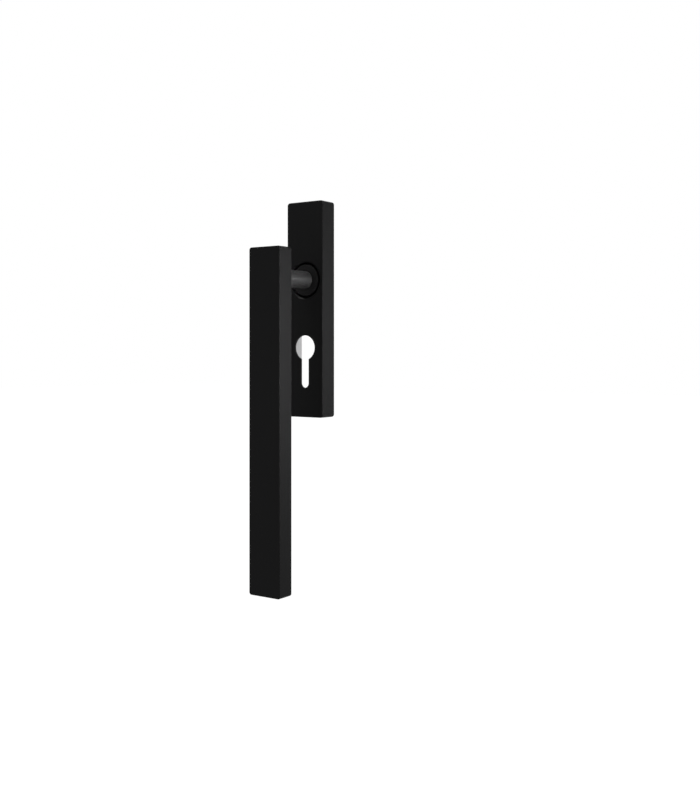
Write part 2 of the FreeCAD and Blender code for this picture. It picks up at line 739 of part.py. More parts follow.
def make_wave_washer():
    """The sprung washer that takes up play: a thin ring, waved along the spindle axis."""
    piece = document.addObject("Part::Feature", "wave_washer")
    inner = sizes.journal_diameter.value / 2 + sizes.running_gap.value
    outer = sizes.washer_diameter.value / 2
    thickness = sizes.wave_thickness.value
    swing = (sizes.wave_height.value - thickness) / 2

    def wave(radius, base):
        points = []
        for step in range(WAVE_POINTS_PER_TURN):
            angle = 2 * math.pi * step / WAVE_POINTS_PER_TURN
            height = base + swing * (1 + math.cos(WAVES * angle))
            points.append(FreeCAD.Vector(radius * math.cos(angle), radius * math.sin(angle), height))
        curve = Part.BSplineCurve()
        curve.interpolate(Points=points, PeriodicFlag=True)
        return curve.toShape()

    inner_low = wave(inner, 0)
    inner_high = wave(inner, thickness)
    outer_low = wave(outer, 0)
    outer_high = wave(outer, thickness)
    around = (inner_low, outer_low, outer_high, inner_high, inner_low)
    faces = [Part.makeRuledSurface(first, second) for first, second in zip(around, around[1:])]
    shell = Part.makeShell(faces)
    shell.sewShape()
    solid = Part.makeSolid(shell)
    if solid.Volume < 0:
        solid.reverse()
    piece.Shape = solid
    return put(piece, FORWARD, forward=RING_FRONT)


def make_retaining_ring():
    """The ring in the neck's groove: wider opposite its mouth, with two drilled lugs."""
    body = cylinder("ring_body", RING_RADIUS, sizes.ring_thickness, forward=-sizes.ring_offset)
    lug_across = (sizes.ring_mouth + sizes.ring_lug_diameter) / 2 - sizes.ring_offset
    lug_forward = RING_RADIUS - sizes.ring_offset
    groove = cylinder("ring_inside", RING_GROOVE_RADIUS, sizes.ring_thickness)
    mouth = primitive("Box", "ring_mouth_cut", {
        "Length": sizes.ring_mouth, "Width": RING_RADIUS * 2, "Height": sizes.ring_thickness,
    }, across=-sizes.ring_mouth / 2, forward=RING_RADIUS * 2)
    lugs = [body]
    cuts = [groove, mouth]
    thickness = sizes.ring_thickness
    for side, across in (("left", -lug_across), ("right", lug_across)):
        lugs.append(cylinder(f"ring_{side}_lug", sizes.ring_lug_diameter / 2, thickness, across, lug_forward))
        cuts.append(cylinder(f"ring_{side}_lug_hole", sizes.ring_lug_hole / 2, thickness, across, lug_forward))
    piece = cut("retaining_ring", joined("ring_with_lugs", lugs), joined("ring_cuts", cuts))
    return put(piece, FORWARD, forward=RING_BACK)


def make_neck_screw():
    """The socket cap screw that draws the neck against the bar."""
    head = cylinder("neck_screw_head", sizes.neck_screw_head_diameter / 2, sizes.neck_screw_head_height)
    shank = cylinder(
        "neck_screw_shank", sizes.neck_screw_diameter / 2,
        sizes.neck_screw_head_height + sizes.neck_screw_length,
    )
    recess = hexagon("neck_screw_socket", sizes.neck_screw_hex, sizes.neck_screw_head_height / 2)
    piece = cut("neck_screw", joined("neck_screw_blank", [head, shank]), recess)
    return put(piece, FORWARD, forward=SCREW_HEAD_FRONT - sizes.neck_screw_head_height)


def make_neck_lock_washer():
    """The split spring washer under the neck screw's head."""
    inner = sizes.neck_screw_diameter / 2 + sizes.running_gap
    whole = ring("lock_washer_ring", sizes.lock_washer_diameter, inner, sizes.lock_washer_thickness)
    slit = primitive("Box", "lock_washer_slit_cut", {
        "Length": sizes.lock_washer_slit, "Width": sizes.lock_washer_diameter,
        "Height": sizes.lock_washer_thickness,
    }, across=-sizes.lock_washer_slit / 2)
    return put(cut("neck_lock_washer", whole, slit), FORWARD, forward=SCREW_HEAD_FRONT)


def make_neck_dowel_pins():
    """Two pins between spigot and insert, which carry the turning load."""
    pins = []
    for side, up in (("upper", sizes.dowel_offset), ("lower", -sizes.dowel_offset)):
        pin = cylinder(f"{side}_dowel", sizes.dowel_diameter / 2, sizes.dowel_length)
        pins.append(put(pin, FORWARD, forward=SPIGOT_END - sizes.dowel_length / 2, up=up))
    return group("neck_dowel_pins", pins)


def countersunk_screw(name, across, forward, up):
    """A countersunk screw with a hex socket, its head towards the door."""
    head_radius = sizes.countersunk_head_diameter / 2
    radius = sizes.countersunk_diameter / 2
    head = primitive("Cone", name + "_head", {
        "Radius1": head_radius, "Radius2": radius, "Height": head_radius - radius,
    })
    shank = cylinder(name + "_shank", radius, sizes.countersunk_length)
    recess = hexagon(name + "_socket", sizes.countersunk_hex, head_radius - radius)
    piece = cut(name, joined(name + "_blank", [head, shank]), recess)
    return put(piece, FORWARD, across, forward + sizes.countersunk_sink, up)


def make_housing_screws():
    """Four screws through the tray's floor into the housing's flange."""
    screws = []
    for side, across in (("left", -SCREW_ACROSS), ("right", SCREW_ACROSS)):
        for level, up in (("lower", -SCREW_UP), ("upper", SCREW_UP)):
            screws.append(countersunk_screw(f"{level}_{side}_housing_screw", across, as_size(0), up))
    return group("housing_screws", screws)


def make_insert_screws():
    """Two screws through the bar's back wall that hold the insert in its place."""
    screws = []
    for level, up in (("lower", -sizes.insert_screw_offset), ("upper", sizes.insert_screw_offset)):
        screws.append(countersunk_screw(f"{level}_insert_screw", 0, GRIP_BACK, up))
    return group("insert_screws", screws)


def grub_screw(name, diameter, length, across_flats):
    """A headless screw with a hex socket in its upper end."""
    blank = cylinder(name + "_blank", diameter / 2, length)
    recess = hexagon(name + "_socket", across_flats, length / 2, up=length / 2)
    return cut(name, blank, recess)


def make_spindle_grub_screw():
    """The grub screw in the underside of the neck, which clamps the spindle."""
    piece = grub_screw(
        "spindle_grub_screw", sizes.spindle_grub_diameter, sizes.spindle_grub_length, sizes.spindle_grub_hex,
    )
    tip = sizes.neck_diameter / 2 - sizes.grub_recess - sizes.spindle_grub_length
    return put(piece, DOWN, forward=sizes.spindle_grub_forward, up=-tip)


def make_cover_grub_screws():
    """Two grub screws in the cover's end walls, which clamp it on the tray."""
    length = sizes.cover_end_wall + sizes.cover_gap - sizes.grub_recess
    upper = grub_screw("upper_cover_grub", sizes.cover_grub_diameter, length, sizes.cover_grub_hex)
    lower = grub_screw("lower_cover_grub", sizes.cover_grub_diameter, length, sizes.cover_grub_hex)
    put(upper, UPRIGHT, forward=sizes.cover_grub_forward, up=TRAY_TOP)
    put(lower, DOWN, forward=sizes.cover_grub_forward, up=TRAY_BOTTOM)
    return group("cover_grub_screws", [upper, lower])


def check(pieces):
    """Stop if an object failed, a cut removed nothing or a piece has no sound shape."""
    for item in document.Objects:
        if "Invalid" in item.State or "Error" in item.State:
            raise RuntimeError(f"{item.Name} failed: {item.State}")
        if item.TypeId in ("PartDesign::Pocket", "PartDesign::Hole"):
            before = item.BaseFeature.Shape.Volume
            if item.Shape.Volume > before - TINY:
                raise RuntimeError(f"{item.Name} cuts nothing")
    for piece in pieces:
        if piece.Shape.isNull() or not piece.Shape.isValid() or not piece.Shape.Solids:
            raise RuntimeError(f"{piece.Label} has no sound shape")


def main():
    """Build every piece, check them all and write one file for each."""
    pieces = [
        make_cover_plate(), make_cover_grub_screws(), make_base_plate(),
        make_bearing_housing(), make_housing_screws(), make_front_bush(), make_rear_bush(),
        make_neck(), make_thrust_washer(), make_wave_washer(), make_retaining_ring(),
        make_spindle_grub_screw(), make_neck_screw(), make_neck_lock_washer(), make_neck_dowel_pins(),
        make_grip(), make_grip_insert(), make_insert_screws(),
        make_grip_cap("grip_top_cap", sizes.grip_above, UPRIGHT),
        make_grip_cap("grip_bottom_cap", GRIP_BOTTOM, HALF_TURN),
    ]
    document.recompute()
    check(pieces)
    os.makedirs("parts", exist_ok=True)
    for piece in pieces:
        piece.Shape.exportStep(f"parts/{piece.Label}.step")
        print(f"{piece.Label}: {len(piece.Shape.Solids)} solids, {piece.Shape.Volume:.1f} mm3")


main()
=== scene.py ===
import logging
import math
from collections.abc import Mapping, Sequence
from dataclasses import dataclass
from enum import Enum

import bpy
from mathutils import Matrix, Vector


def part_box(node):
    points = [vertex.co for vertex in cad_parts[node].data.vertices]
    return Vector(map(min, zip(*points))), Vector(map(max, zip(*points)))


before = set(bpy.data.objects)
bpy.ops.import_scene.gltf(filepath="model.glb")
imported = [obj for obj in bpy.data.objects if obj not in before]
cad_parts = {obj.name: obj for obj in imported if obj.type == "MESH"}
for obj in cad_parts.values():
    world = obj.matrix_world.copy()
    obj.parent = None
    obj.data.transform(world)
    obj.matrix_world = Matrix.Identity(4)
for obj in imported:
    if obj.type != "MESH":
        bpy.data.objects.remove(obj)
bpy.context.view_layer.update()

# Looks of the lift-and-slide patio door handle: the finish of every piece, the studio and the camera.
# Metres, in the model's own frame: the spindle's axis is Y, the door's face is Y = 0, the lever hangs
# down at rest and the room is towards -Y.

log = logging.getLogger("handle")

Number = int | float
Triple = tuple[float, float, float]

MM = 0.001

# A Mix node has sockets for every kind of value. These are the places of those for colours.
MIX_MASK = 0
MIX_FIRST = 6
MIX_SECOND = 7
MIX_COLOUR = 2


class Maths(Enum):
    """The Math operations that the finishes use."""

    ADD = "ADD"
    TAKE = "SUBTRACT"
    TIMES = "MULTIPLY"
    OVER = "DIVIDE"
    SINE = "SINE"


class Arrows(Enum):
    """The Vector Math operations that the finishes use."""

    TIMES = "MULTIPLY"
    LENGTH = "LENGTH"


class Way(Enum):
    """The axis that a pattern runs along."""

    DEPTH = "Y"
    UP = "Z"


class Ray(Enum):
    """The rays that see a thing itself: straight, in a mirror or through glass."""

    STRAIGHT = "Is Camera Ray"
    MIRROR = "Is Glossy Ray"
    GLASS = "Is Transmission Ray"


@dataclass(frozen=True)
class Lead:
    """Anything that leaves a node."""

    board: "Board"
    socket: bpy.types.NodeSocket


@dataclass(frozen=True)
class Wire(Lead):
    """A number that leaves a node. Used in a sum, it adds the Math nodes of that sum."""

    def __add__(self, other: "Term") -> "Wire":
        """Self plus other."""
        return self.board.maths(Maths.ADD, self, other)

    def __radd__(self, other: Number) -> "Wire":
        """Other plus self."""
        return self.board.maths(Maths.ADD, other, self)

    def __sub__(self, other: "Term") -> "Wire":
        """Self less other."""
        return self.board.maths(Maths.TAKE, self, other)

    def __rsub__(self, other: Number) -> "Wire":
        """Other less self."""
        return self.board.maths(Maths.TAKE, other, self)

    def __mul__(self, other: "Term") -> "Wire":
        """Self times other."""
        return self.board.maths(Maths.TIMES, self, other)

    def __rmul__(self, other: Number) -> "Wire":
        """Other times self."""
        return self.board.maths(Maths.TIMES, other, self)

    def __truediv__(self, other: "Term") -> "Wire":
        """Self over other."""
        return self.board.maths(Maths.OVER, self, other)

    def __rtruediv__(self, other: Number) -> "Wire":
        """Other over self."""
        return self.board.maths(Maths.OVER, other, self)

    def clamped(self) -> "Wire":
        """Self, kept between 0 and 1."""
        return self.board.maths(Maths.ADD, self, 0.0, clamp=True)


Term = Wire | Number


@dataclass(frozen=True)
class Place(Lead):
    """A vector that leaves a node, with the sums that need Vector Math."""

    def __mul__(self, factors: Triple) -> "Place":
        """Self, stretched by a factor along each axis."""
        return self.board.arrows(Arrows.TIMES, self, factors)

    def __rmul__(self, factors: Triple) -> "Place":
        """The same, with the factors first."""
        return self.board.arrows(Arrows.TIMES, factors, self)

    def part(self, way: Way) -> Wire:
        """One coordinate."""
        split = self.board.node("ShaderNodeSeparateXYZ", values={"Vector": self})
        return Wire(self.board, split.outputs[way.value])

    def length(self) -> Wire:
        """Distance from the origin."""
        measured = self.board.node("ShaderNodeVectorMath", {"operation": Arrows.LENGTH.value}, {0: self})
        return Wire(self.board, measured.outputs["Value"])

    def off_axis(self) -> Wire:
        """Distance from the spindle's axis."""
        return (self * (1.0, 0.0, 1.0)).length()


@dataclass(frozen=True)
class Tint(Lead):
    """A colour that leaves a node."""


@dataclass(frozen=True)
class Shade(Lead):
    """A shader that leaves a node."""


Surface = tuple[Tint, Wire, Place]


@dataclass(frozen=True)
class Noise:
    """A random pattern: how far apart its blotches lie, and the finer layers over them."""

    size: float
    detail: float = 2.0
    rough: float = 0.5


class Board:
    """The node tree of one material or of the world."""

    def __init__(self, tree: bpy.types.NodeTree) -> None:
        """Empty the tree that the nodes go into."""
        self.tree = tree
        self.tree.nodes.clear()

    def node(
        self,
        kind: str,
        settings: Mapping[str, object] | None = None,
        values: Mapping[str | int, object] | None = None,
    ) -> bpy.types.Node:
        """Add any node: its settings first, then what its sockets get.

        Args:
            kind: Blender's name of the node's type.
            settings: the node's own settings. "stops" gives a ramp's places and greys.
            values: a number, a colour, a vector or a lead for each socket, by name or place.

        Returns:
            The new node.
        """
        made = self.tree.nodes.new(kind)
        for name, setting in (settings or {}).items():
            if name == "stops":
                self._set_stops(made.color_ramp, setting)
            else:
                setattr(made, name, setting)
        for name, value in (values or {}).items():
            if isinstance(value, Lead):
                self.tree.links.new(value.socket, made.inputs[name])
            else:
                made.inputs[name].default_value = value
        return made

    @staticmethod
    def _set_stops(ramp: bpy.types.ColorRamp, stops: Sequence[tuple[float, float]]) -> None:
        """Give a ramp its grey stops.

        Args:
            ramp: the ramp of a new Color Ramp node.
            stops: place and grey value of each stop, in order.
        """
        while len(ramp.elements) < len(stops):
            ramp.elements.new(1.0)
        for element, (place, grey) in zip(ramp.elements, stops):
            element.position = place
            element.color = (grey, grey, grey, 1.0)

    def maths(self, operation: Maths, first: Term, second: Term = 0.0, clamp: bool = False) -> Wire:
        """Add a Math node. With clamp, its result stays between 0 and 1."""
        settings = {"operation": operation.value, "use_clamp": clamp}
        return Wire(self, self.node("ShaderNodeMath", settings, {0: first, 1: second}).outputs[0])

    def arrows(self, operation: Arrows, first: Place | Triple, second: Place | Triple) -> Place:
        """Add a Vector Math node."""
        worked = self.node("ShaderNodeVectorMath", {"operation": operation.value}, {0: first, 1: second})
        return Place(self, worked.outputs["Vector"])

    def place(self) -> Place:
        """The point's place on the piece, in metres, which rides with the piece."""
        return Place(self, self.node("ShaderNodeTexCoord").outputs["Object"])

    def noise(self, where: Place, noise: Noise) -> Wire:
        """Smooth random values between 0 and 1, read at a place."""
        values = {"Vector": where, "Scale": 1 / noise.size, "Detail": noise.detail, "Roughness": noise.rough}
        return Wire(self, self.node("ShaderNodeTexNoise", {"noise_dimensions": "3D"}, values).outputs[0])

    def pits(self, where: Place, apart: float) -> Wire:
        """Distance to the nearest of many scattered points, as a share of how far they lie apart."""
        values = {"Vector": where, "Scale": 1 / apart}
        return Wire(self, self.node("ShaderNodeTexVoronoi", {"feature": "F1"}, values).outputs["Distance"])

    def waves(self, along: Wire, pitch: float) -> Wire:
        """Even waves between 0 and 1, which follow each other along a distance."""
        return self.maths(Maths.SINE, along * (2 * math.pi / pitch)) * 0.5 + 0.5

    def ramp(self, wire: Wire, stops: Sequence[tuple[float, float]]) -> Wire:
        """Bend a value along a grey ramp, by the place and the result of each stop."""
        return Wire(self, self.node("ShaderNodeValToRGB", {"stops": stops}, {"Fac": wire}).outputs["Color"])

    @staticmethod
    def paint(colour: Tint | Triple) -> Tint | tuple[float, ...]:
        """A colour as a socket takes it: a lead as it is, or four numbers."""
        return colour if isinstance(colour, Tint) else (*colour, 1.0)

    def mix(self, mask: Term, first: Tint | Triple, second: Tint | Triple) -> Tint:
        """Go from the first colour, where the mask is 0, to the second, where it is 1."""
        values = {MIX_MASK: mask, MIX_FIRST: self.paint(first), MIX_SECOND: self.paint(second)}
        return Tint(self, self.node("ShaderNodeMix", {"data_type": "RGBA"}, values).outputs[MIX_COLOUR])

    def bump(self, height: Wire, depth: float, under: Place | None = None) -> Place:
        """Turn a height into a normal.

        Args:
            height: the height, of which 1 is the full depth.
            depth: the full depth, in metres.
            under: the normal of a coarser bump below this one.

        Returns:
            The normal.
        """
        values: dict[str | int, object] = {"Height": height, "Distance": depth}
        if under is not None:
            values["Normal"] = under
        return Place(self, self.node("ShaderNodeBump", values=values).outputs["Normal"])

    def shader(self, kind: str, values: Mapping[str | int, object]) -> Shade:
        """Add a shader, by Blender's name of its type and what its sockets get."""
        return Shade(self, self.node(kind, values=values).outputs[0])

    def end(self, kind: str, shade: Shade) -> None:
        """Lead a shader to the tree's output, by Blender's name of the output's type."""
        self.node(kind, values={"Surface": shade})


def laid_over(under: Wire, over: Wire, share: float) -> Wire:
    """Lay one pattern over another, which gets that share of the whole, between 0 and 1."""
    return (under * (1 - share) + over * share).clamped()


@dataclass(frozen=True)
class Finish:
    """What every finish has: the slot it belongs to, its shine, its two tones and its roughness."""

    slot: str
    metallic: float = 0.0
    specular: float = 0.5
    dark: Triple = (0.0, 0.0, 0.0)
    light: Triple = (1.0, 1.0, 1.0)
    rough: float = 0.5
    uneven: float = 0.0

    def make(self) -> bpy.types.Material:
        """Build the finish.

        Returns:
            A material that holds the finish.
        """
        material = bpy.data.materials.new(self.slot)
        material.use_nodes = True
        board = Board(material.node_tree)
        colour, roughness, normal = self.surface(board)
        values = {
            "Base Color": colour,
            "Roughness": roughness,
            "Normal": normal,
            "Metallic": self.metallic,
            "Specular IOR Level": self.specular,
        }
        board.end("ShaderNodeOutputMaterial", board.shader("ShaderNodeBsdfPrincipled", values))
        return material

    def surface(self, board: Board) -> Surface:
        """What changes over the surface: colour, roughness and normal."""
        raise NotImplementedError

    def tone(self, board: Board, mask: Wire) -> Tint:
        """The dark tone where the mask is 0, and the light one where it is 1."""
        return board.mix(mask, self.dark, self.light)

    def roughness(self, mask: Wire) -> Wire:
        """The roughness, changed by all of its unevenness where the mask is 1."""
        return self.rough + mask * self.uneven


@dataclass(frozen=True)
class PowderCoat(Finish):
    """Fine satin black powder coat: a soft peel with a fine grain over it."""

    specular: float = 0.04
    dark: Triple = (0.0078, 0.0078, 0.0080)
    light: Triple = (0.0108, 0.0108, 0.0110)
    rough: float = 0.405
    uneven: float = 0.07
    cloud: Noise = Noise(22 * MM, detail=3.0)
    peel: Noise = Noise(1.6 * MM, detail=1.0)
    peel_depth: float = 0.010 * MM
    grain: Noise = Noise(0.30 * MM)
    grain_depth: float = 0.0035 * MM
    grain_share: float = 0.3

    def surface(self, board: Board) -> Surface:
        """A faint cloud in tone and gloss, over the peel and the grain.

        Args:
            board: the material's board.

        Returns:
            Colour, roughness and normal.
        """
        where = board.place()
        cloud = board.noise(where, self.cloud)
        peel = board.noise(where, self.peel)
        grain = board.noise(where, self.grain)
        colour = self.tone(board, laid_over(cloud, grain, self.grain_share))
        normal = board.bump(grain, self.grain_depth, under=board.bump(peel, self.peel_depth))
        return colour, self.roughness(cloud), normal


@dataclass(frozen=True)
class TurnedCoat(PowderCoat):
    """The same coat on a turned stem, where the tool's fine rings still show through, with its tones painted
    lighter as painted light on the stem.
    """

    specular: float = 0.25
    # Lighter than the coat's own tones: painted light that brightens the stem.
    dark: Triple = (0.020, 0.020, 0.0203)
    light: Triple = (0.025, 0.025, 0.0253)
    rough: float = 0.425
    pitch: float = 0.45 * MM
    ring_depth: float = 0.078 * MM

    def surface(self, board: Board) -> Surface:
        """The coat's own surface with rings round the stem's axis.

        Args:
            board: the material's board.

        Returns:
            Colour, roughness and normal.
        """
        colour, roughness, normal = super().surface(board)
        rings = board.waves(board.place().part(Way.DEPTH), self.pitch)
        return colour, roughness, board.bump(rings, self.ring_depth, under=normal)


@dataclass(frozen=True)
class Moulded(Finish):
    """Black moulded nylon with the mould's fine spark-eroded grain."""

    specular: float = 0.05
    dark: Triple = (0.0115, 0.0115, 0.0117)
    light: Triple = (0.0160, 0.0160, 0.0162)
    rough: float = 0.46
    uneven: float = 0.12
    cloud: Noise = Noise(9 * MM)
    grain: Noise = Noise(0.22 * MM, detail=3.0, rough=0.65)
    grain_depth: float = 0.006 * MM

    def surface(self, board: Board) -> Surface:
        """Grain and a slow change of gloss.

        Args:
            board: the material's board.

        Returns:
            Colour, roughness and normal.
        """
        where = board.place()
        cloud = board.noise(where, self.cloud)
        grain = board.noise(where, self.grain)
        return self.tone(board, grain), self.roughness(cloud), board.bump(grain, self.grain_depth)


@dataclass(frozen=True)
class OxideBlack(Finish):
    """Black oxide on a steel screw, slightly oily and unevenly dark."""

    metallic: float = 0.85
    dark: Triple = (0.012, 0.012, 0.013)
    light: Triple = (0.035, 0.034, 0.033)
    rough: float = 0.34
    uneven: float = 0.2
    oil: Noise = Noise(1.8 * MM, detail=3.0)
    tooth: Noise = Noise(0.12 * MM)
    tooth_depth: float = 0.003 * MM

    def surface(self, board: Board) -> Surface:
        """Blotches of oil over a fine tooth.

        Args:
            board: the material's board.

        Returns:
            Colour, roughness and normal.
        """
        where = board.place()
        oil = board.noise(where, self.oil)
        tooth = board.noise(where, self.tooth)
        return self.tone(board, oil), self.roughness(oil), board.bump(tooth, self.tooth_depth)


@dataclass(frozen=True)
class BrightZinc(Finish):
    """Bright zinc plate on a steel screw, with painted shade down in the socket for the key."""

    metallic: float = 1.0
    dark: Triple = (0.25, 0.26, 0.28)
    light: Triple = (0.40, 0.41, 0.42)
    rough: float = 0.42
    uneven: float = 0.14
    cloud: Noise = Noise(1.3 * MM)
    skin: Noise = Noise(0.35 * MM)
    skin_depth: float = 0.012 * MM
    # Painted shade: the dark tone, and the depths below the head's face where it starts and where it is
    # full.
    socket_shade_tone: Triple = (0.035, 0.035, 0.037)
    shade_start_depth: float = 0.5 * MM
    shade_full_depth: float = 1.4 * MM

    def surface(self, board: Board) -> Surface:
        """Faint bluish clouds over a soft skin, with painted shade below the head's face.

        Args:
            board: the material's board.

        Returns:
            Colour, roughness and normal.
        """
        where = board.place()
        cloud = board.noise(where, self.cloud)
        skin = board.noise(where, self.skin)
        # Below the head's face the tone goes over to the dark one: painted shade in the socket.
        depth = 0.0 - where.part(Way.DEPTH)
        socket_shade = ((depth - self.shade_start_depth) / (self.shade_full_depth - self.shade_start_depth)).clamped()
        colour = board.mix(socket_shade, self.tone(board, cloud), self.socket_shade_tone)
        return colour, self.roughness(cloud), board.bump(skin, self.skin_depth)


@dataclass(frozen=True)
class DieCasting(Finish):
    """Raw aluminium die casting: flow marks, a matt skin and small open pores, with painted shade inside the
    pores.
    """

    metallic: float = 0.9
    dark: Triple = (0.38, 0.38, 0.385)
    light: Triple = (0.60, 0.60, 0.605)
    rough: float = 0.62
    uneven: float = -0.14
    flow: Noise = Noise(14 * MM, detail=4.0, rough=0.6)
    flow_squeeze: Triple = (1.6, 1.6, 0.35)
    skin: Noise = Noise(0.5 * MM, detail=3.0, rough=0.6)
    skin_share: float = 0.25
    skin_depth: float = 0.018 * MM
    pores_apart: float = 2.4 * MM
    pore_floor: float = 0.04
    pore_rim: float = 0.11
    # How dark the pores' floors are painted: painted shade in the pits.
    pore_shade_tone: float = 0.55
    pore_depth: float = 0.05 * MM

    def surface(self, board: Board) -> Surface:
        """Long flow marks along the tray, a blasted skin and a few pores darkened with painted shade.

        Args:
            board: the material's board.

        Returns:
            Colour, roughness and normal.
        """
        where = board.place()
        flow = board.noise(where * self.flow_squeeze, self.flow)
        skin = board.noise(where, self.skin)
        stops = ((self.pore_floor, 0.0), (self.pore_rim, 1.0))
        solid = board.ramp(board.pits(where, self.pores_apart), stops)
        # The pores darken the tone: painted shade inside them.
        mask = laid_over(flow, skin, self.skin_share) * (self.pore_shade_tone + solid * (1 - self.pore_shade_tone))
        normal = board.bump(solid, self.pore_depth, under=board.bump(skin, self.skin_depth))
        return self.tone(board, mask), self.roughness(flow), normal


@dataclass(frozen=True)
class BlackCasting(Finish):
    """Zinc die casting under a thin black passivation: dull, with the casting's fine skin."""

    metallic: float = 0.5
    specular: float = 0.1
    dark: Triple = (0.009, 0.009, 0.0092)
    light: Triple = (0.020, 0.020, 0.0204)
    rough: float = 0.56
    uneven: float = 0.12
    cloud: Noise = Noise(6.0 * MM, detail=4.0, rough=0.6)
    skin: Noise = Noise(0.4 * MM, detail=3.0)
    skin_share: float = 0.2
    skin_depth: float = 0.012 * MM

    def surface(self, board: Board) -> Surface:
        """Slow clouds where the bath took unevenly, over the skin.

        Args:
            board: the material's board.

        Returns:
            Colour, roughness and normal.
        """
        where = board.place()
        cloud = board.noise(where, self.cloud)
        skin = board.noise(where, self.skin)
        colour = self.tone(board, laid_over(cloud, skin, self.skin_share))
        return colour, self.roughness(cloud), board.bump(skin, self.skin_depth)


@dataclass(frozen=True)
class TurnedSteel(Finish):
    """Plain turned steel with the tool's rings round the spindle's axis."""

    metallic: float = 1.0
    dark: Triple = (0.30, 0.30, 0.305)
    light: Triple = (0.46, 0.455, 0.45)
    rough: float = 0.30
    uneven: float = 0.14
    cloud: Noise = Noise(5.0 * MM, detail=3.0)
    pitch: float = 0.32 * MM
    wander: float = 0.08 * MM
    wandering: Noise = Noise(3.0 * MM)
    ring_share: float = 0.35
    ring_depth: float = 0.005 * MM

    def surface(self, board: Board) -> Surface:
        """Rings on flat faces and round walls alike, each a little off its place.

        Args:
            board: the material's board.

        Returns:
            Colour, roughness and normal.
        """
        where = board.place()
        turning = where.off_axis() + where.part(Way.DEPTH)
        rings = board.waves(turning + board.noise(where, self.wandering) * self.wander, self.pitch)
        cloud = board.noise(where, self.cloud)
        colour = self.tone(board, laid_over(cloud, rings, self.ring_share))
        return colour, self.roughness(cloud), board.bump(rings, self.ring_depth)


@dataclass(frozen=True)
class SpringSteel(Finish):
    """Phosphated spring steel, dark grey and finely crystalline."""

    metallic: float = 0.7
    dark: Triple = (0.030, 0.030, 0.032)
    light: Triple = (0.075, 0.075, 0.078)
    rough: float = 0.48
    uneven: float = 0.14
    cloud: Noise = Noise(2.5 * MM)
    crystals_apart: float = 0.18 * MM
    crystal_share: float = 0.5
    crystal_depth: float = 0.004 * MM

    def surface(self, board: Board) -> Surface:
        """A fine crystal sparkle.

        Args:
            board: the material's board.

        Returns:
            Colour, roughness and normal.
        """
        where = board.place()
        crystals = board.pits(where, self.crystals_apart)
        cloud = board.noise(where, self.cloud)
        colour = self.tone(board, laid_over(cloud, crystals, self.crystal_share))
        return colour, self.roughness(cloud), board.bump(crystals, self.crystal_depth)


@dataclass(frozen=True)
class MilledAluminium(Finish):
    """Bare aluminium with straight cutter lines."""

    metallic: float = 1.0
    dark: Triple = (0.52, 0.52, 0.53)
    light: Triple = (0.68, 0.68, 0.69)
    rough: float = 0.28
    uneven: float = 0.16
    pitch: float = 0.4 * MM
    line_share: float = 0.3
    line_depth: float = 0.005 * MM
    drag: Noise = Noise(0.25 * MM)
    drag_squeeze: Triple = (0.08, 1.0, 1.0)

    def surface(self, board: Board) -> Surface:
        """Lines across the block, each a little different.

        Args:
            board: the material's board.

        Returns:
            Colour, roughness and normal.
        """
        where = board.place()
        lines = board.waves(where.part(Way.UP), self.pitch)
        drag = board.noise(where * self.drag_squeeze, self.drag)
        cut = laid_over(drag, lines, self.line_share)
        return self.tone(board, cut), self.roughness(drag), board.bump(cut, self.line_depth)


class FinishShop:
    """Makes each finish once and puts it on the pieces that wear it."""

    def __init__(self) -> None:
        """Start with nothing made."""
        self.made: dict[Finish, bpy.types.Material] = {}

    def put(self, finish: Finish, nodes: Sequence[str]) -> None:
        """Give pieces a finish.

        Args:
            finish: the finish.
            nodes: the names of the pieces.
        """
        if finish not in self.made:
            self.made[finish] = finish.make()
        for name in nodes:
            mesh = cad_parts[name].data
            for place in range(len(mesh.materials)):
                mesh.materials[place] = self.made[finish]
            low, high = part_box(name)
            size = " x ".join(f"{side / MM:.1f}" for side in high - low)
            log.info("%s: %s, %s mm", name, finish.slot, size)


Worn = dict[Finish, tuple[str, ...]]


class SubAssembly:
    """Pieces that go together on the bench."""

    def worn(self) -> Worn:
        """The pieces that wear each finish."""
        raise NotImplementedError

    def dress(self, shop: FinishShop) -> None:
        """Put each finish on the pieces that wear it."""
        for finish, nodes in self.worn().items():
            shop.put(finish, nodes)


@dataclass
class PlateParts(SubAssembly):
    """The cover with its grub screws, on the cast tray."""

    coat: Finish = PowderCoat("black_coat")
    tray: Finish = DieCasting("cast_tray")
    grub: Finish = OxideBlack("black_screw")

    def worn(self) -> Worn:
        """The plate's pieces.

        Returns:
            The pieces by their finish.
        """
        return {
            self.coat: ("cover_plate",),
            self.tray: ("base_plate",),
            self.grub: ("cover_grub_screws",),
        }


@dataclass
class BearingParts(SubAssembly):
    """The housing with its bushes and screws, and the stack that holds the neck in it."""

    casting: Finish = BlackCasting("black_zinc")
    steel: Finish = TurnedSteel("turned_steel")
    spring: Finish = SpringSteel("spring_steel")
    nylon: Finish = Moulded("black_polymer")
    zinc: Finish = BrightZinc("zinc_screw")

    def worn(self) -> Worn:
        """The bearing's pieces.

        Returns:
            The pieces by their finish.
        """
        return {
            self.casting: ("bearing_housing",),
            self.steel: ("thrust_washer",),
            self.spring: ("wave_washer", "retaining_ring"),
            self.nylon: ("front_bush", "rear_bush"),
            self.zinc: ("housing_screws",),
        }


@dataclass
class NeckParts(SubAssembly):
    """The stem with its screw, washer, pins and the spindle's grub screw."""

    coat: Finish = TurnedCoat("black_stem")
    screw: Finish = OxideBlack("black_screw")
    spring: Finish = SpringSteel("spring_steel")
    pins: Finish = TurnedSteel("turned_steel")

    def worn(self) -> Worn:
        """The neck's pieces.

        Returns:
            The pieces by their finish.
        """
        return {
            self.coat: ("neck",),
            self.screw: ("neck_screw", "spindle_grub_screw"),
            self.spring: ("neck_lock_washer",),
            self.pins: ("neck_dowel_pins",),
        }


